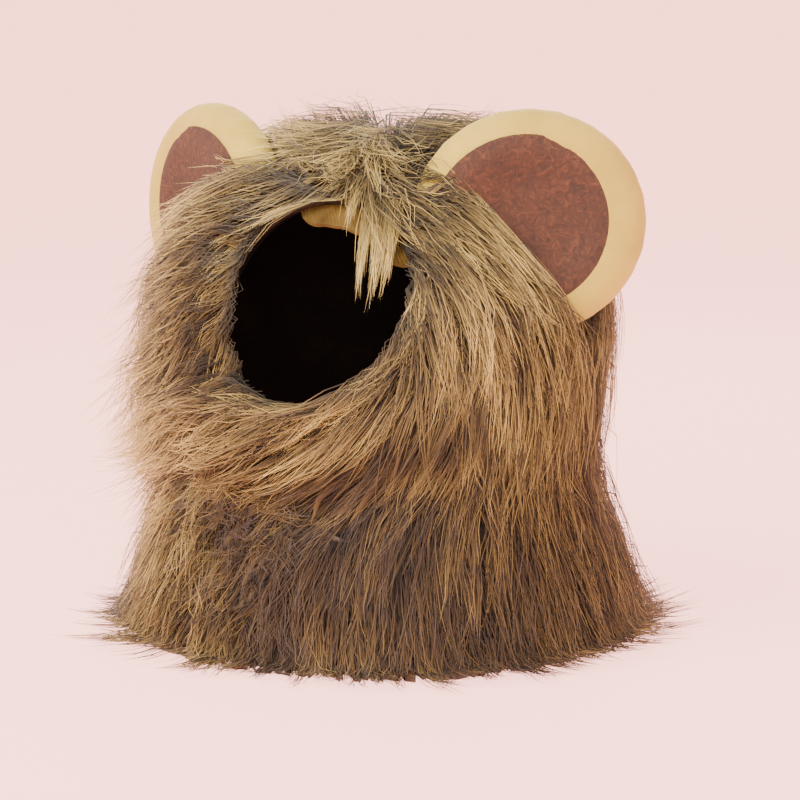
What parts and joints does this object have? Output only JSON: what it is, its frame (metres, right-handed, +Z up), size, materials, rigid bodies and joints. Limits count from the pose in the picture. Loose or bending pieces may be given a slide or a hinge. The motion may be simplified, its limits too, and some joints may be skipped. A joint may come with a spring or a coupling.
{
  "type": "pet lion hat",
  "caption": "Long-pile faux-fur hood for a cat or small dog, with a round face opening, an open neck and stuffed round ears, standing on its hem.",
  "frame": {"origin": "on the floor under the middle of the hat's box", "axes": "+Z up, -Y out of the face opening, +X towards the ear on the right as the face opening is looked into"},
  "size_m": [0.2333, 0.215, 0.1979],
  "materials": {
    "fur": "long-pile faux fur, golden tan with dark roots and smoky tips",
    "lining": "dark brown brushed knit",
    "band": "tan short-pile cloth",
    "plush": "pale yellow short plush",
    "fleece": "red-brown brushed fleece"
  },
  "bodies": {
    "root": {"fur_hood": "fur", "lining": "lining", "brow_band": "band", "ear_left": "plush", "ear_right": "plush", "inner_ear_left": "fleece", "inner_ear_right": "fleece"}
  },
  "joints": []
}
